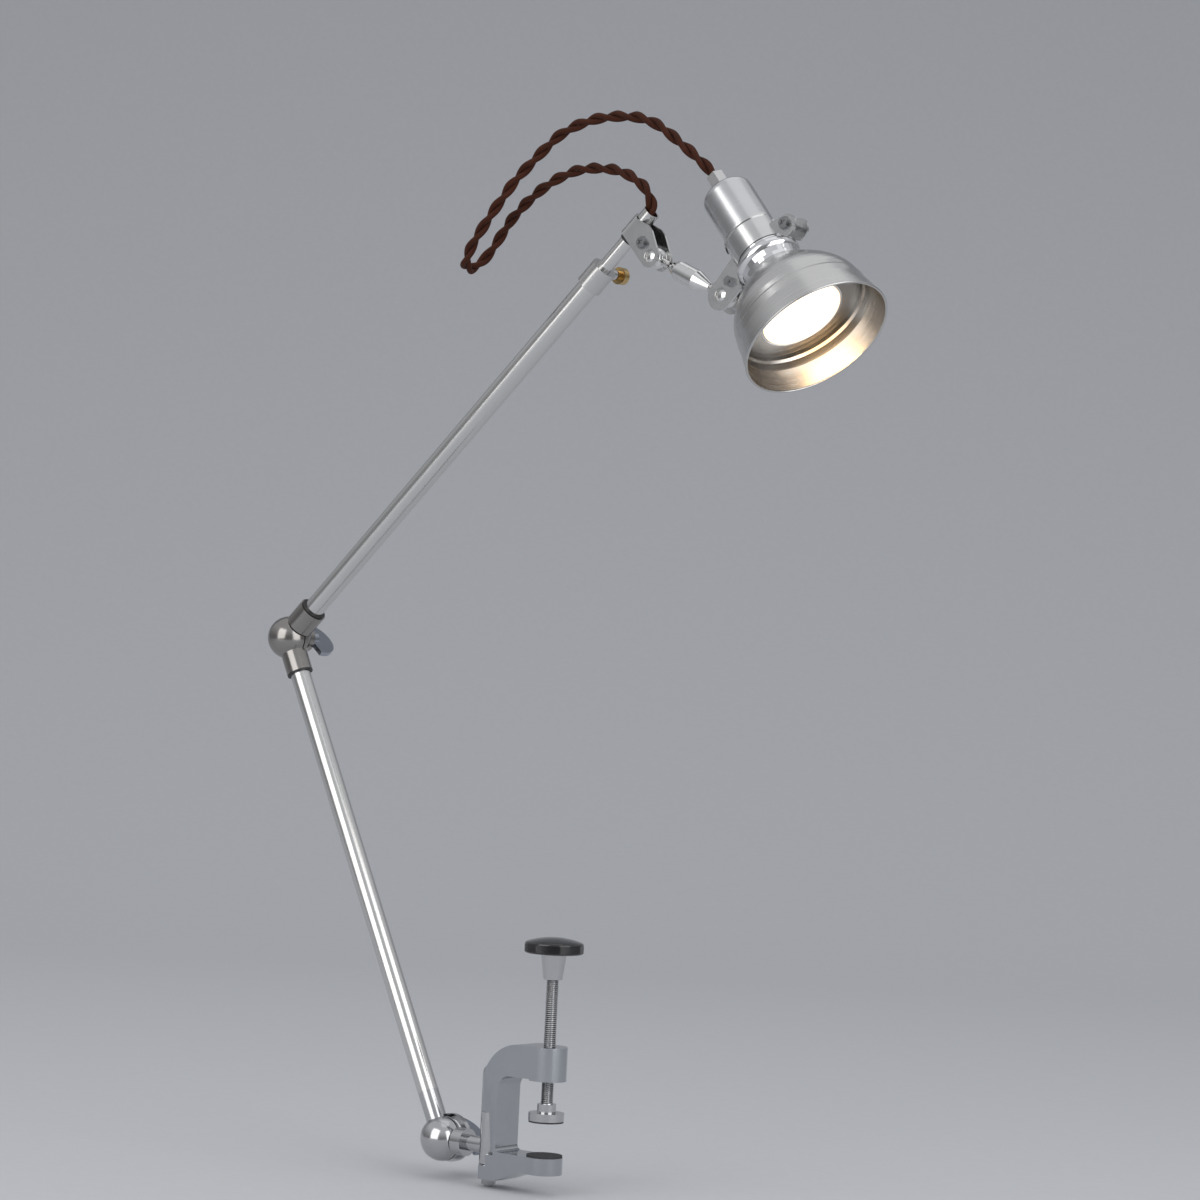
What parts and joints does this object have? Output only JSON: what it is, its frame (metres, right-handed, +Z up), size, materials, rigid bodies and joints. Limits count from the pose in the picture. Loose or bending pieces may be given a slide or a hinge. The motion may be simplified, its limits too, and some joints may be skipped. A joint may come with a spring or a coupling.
{
  "type": "clip on reading lamp",
  "caption": "Clamp-on reading lamp: screw clamp, two jointed tube arms with thumb nuts, sliding extension, ball link and spun metal shade.",
  "frame": {"origin": "on the face of the lower jaw pad, on the axis of the clamp screw", "axes": "+X from the spine of the clamp towards the screw, so over the table; +Y to the thumb nut side; +Z up"},
  "size_m": [0.5656, 0.1198, 0.8006],
  "materials": {
    "cast_alloy": "satin cast and polished",
    "bright_steel": "machined, bright",
    "chrome": "polished",
    "satin_nickel": "satin plated tube",
    "gunmetal": "dark polished plating",
    "black_knob": "polished black",
    "dark_pad": "matte",
    "fibre": "matte fibre washer",
    "brass": "turned",
    "nylon": "matte nylon",
    "aluminium": "brushed satin",
    "porcelain": "glazed",
    "bulb_silver": "silvered inside",
    "bulb_glass": "frosted, lit",
    "cord_cloth": "twisted braid"
  },
  "bodies": {
    "clamp": {"clamp_frame": "cast_alloy", "jaw_pad": "dark_pad", "swivel_pin": "bright_steel", "swivel_pin_nut": "bright_steel"},
    "pad": {"pressure_pad": "chrome", "pressure_pad_liner": "dark_pad"},
    "screw": {"clamp_screw": "bright_steel", "knob_hub": "chrome", "clamp_knob": "black_knob"},
    "swivel": {"base_knuckle_swivel_half": "chrome", "base_friction_disc": "fibre", "base_washer": "bright_steel"},
    "lower_arm": {"base_knuckle_arm_half": "satin_nickel", "base_stud": "bright_steel", "lower_tube": "satin_nickel", "lower_mouth_liner": "fibre", "elbow_lower_half": "gunmetal", "elbow_stud": "bright_steel"},
    "base_nut": {"base_thumb_nut": "cast_alloy"},
    "elbow_nut": {"elbow_thumb_nut": "cast_alloy"},
    "upper_arm": {"elbow_upper_half": "gunmetal", "elbow_friction_disc": "fibre", "elbow_washer": "bright_steel", "upper_mouth_liner": "fibre", "upper_tube": "satin_nickel", "slide_collar": "satin_nickel"},
    "slide_screw": {"extension_thumb_screw": "brass"},
    "extension": {"extension_tube": "satin_nickel", "slide_bush": "nylon", "extension_ferrule": "chrome", "cord_arm_stretch": "cord_cloth"},
    "strap": {"strap_bush": "fibre", "strap_clevis": "satin_nickel", "strap_screw": "bright_steel", "strap_screw_nut": "bright_steel", "cord_loop_stretch": "cord_cloth"},
    "link": {"link_lower_ball_stud": "chrome", "link_barrel": "chrome", "link_upper_ball_stud": "chrome"},
    "head": {"head_band_near_half": "satin_nickel", "head_band_far_half": "satin_nickel", "head_band_screws": "bright_steel", "head_band_nuts": "bright_steel", "socket_cup": "aluminium", "cord_gland": "chrome", "lampholder": "porcelain", "lampholder_shell": "brass", "gallery_ring": "chrome", "shade": "aluminium", "bulb_cap": "aluminium", "bulb_reflector": "bulb_silver", "bulb_face": "bulb_glass", "cord_head_stretch": "cord_cloth"}
  },
  "joints": [
    {"name": "pad_travel", "type": "slide", "parent": "clamp", "child": "pad", "axis": [0, 0, 1], "range_m": [-0.0236, 0.0166]},
    {"name": "screw_turn", "type": "hinge", "parent": "pad", "child": "screw", "pos_m": [0, 0, 0.1354], "axis": [0, 0, 1], "range_deg": [-5670, 3990]},
    {"name": "swivel_turn", "type": "hinge", "parent": "clamp", "child": "swivel", "pos_m": [-0.0521, 0, 0], "axis": [0, 0, 1], "range_deg": [-60, 60]},
    {"name": "base_tilt", "type": "hinge", "parent": "swivel", "child": "lower_arm", "pos_m": [-0.099, 0, 0], "axis": [0, 1, 0], "range_deg": [-35, 38]},
    {"name": "base_nut_turn", "type": "hinge", "parent": "lower_arm", "child": "base_nut", "pos_m": [-0.099, 0.027, 0], "axis": [0, 1, 0], "range_deg": [0, 180]},
    {"name": "elbow_tilt", "type": "hinge", "parent": "lower_arm", "child": "upper_arm", "pos_m": [-0.2842, 0, 0.37473], "axis": [0, 1, 0], "range_deg": [-75, 26]},
    {"name": "elbow_nut_turn", "type": "hinge", "parent": "lower_arm", "child": "elbow_nut", "pos_m": [-0.2842, 0.027, 0.37473], "axis": [0, 1, 0], "range_deg": [0, 180]},
    {"name": "extension_slide", "type": "slide", "parent": "upper_arm", "child": "extension", "axis": [0.7302, 0, 0.6833], "range_m": [-0.018, 0.16]},
    {"name": "slide_screw_turn", "type": "hinge", "parent": "upper_arm", "child": "slide_screw", "pos_m": [0.01392, 0.021, 0.65371], "axis": [0, 1, 0], "range_deg": [0, 360]},
    {"name": "strap_turn", "type": "hinge", "parent": "extension", "child": "strap", "pos_m": [0.04583, 0, 0.68357], "axis": [0.7302, 0, 0.6833], "range_deg": [-90, 90], "deforming": ["cord_arm_stretch"]},
    {"name": "link_swing", "type": "hinge", "parent": "strap", "child": "link", "pos_m": [0.0673, -0.0033, 0.66062], "axis": [0.0714, 0.9945, -0.0763], "range_deg": [-26, 35], "deforming": ["cord_loop_stretch"]},
    {"name": "head_tilt", "type": "hinge", "parent": "link", "child": "head", "pos_m": [0.13822, -0.01088, 0.62832], "axis": [0.0714, 0.9945, -0.0763], "range_deg": [-25, 30], "deforming": ["cord_head_stretch"]}
  ],
  "couplings": [
    {"joint": "screw_turn", "follows": "pad_travel", "rad_per_m": 4188.8}
  ]
}
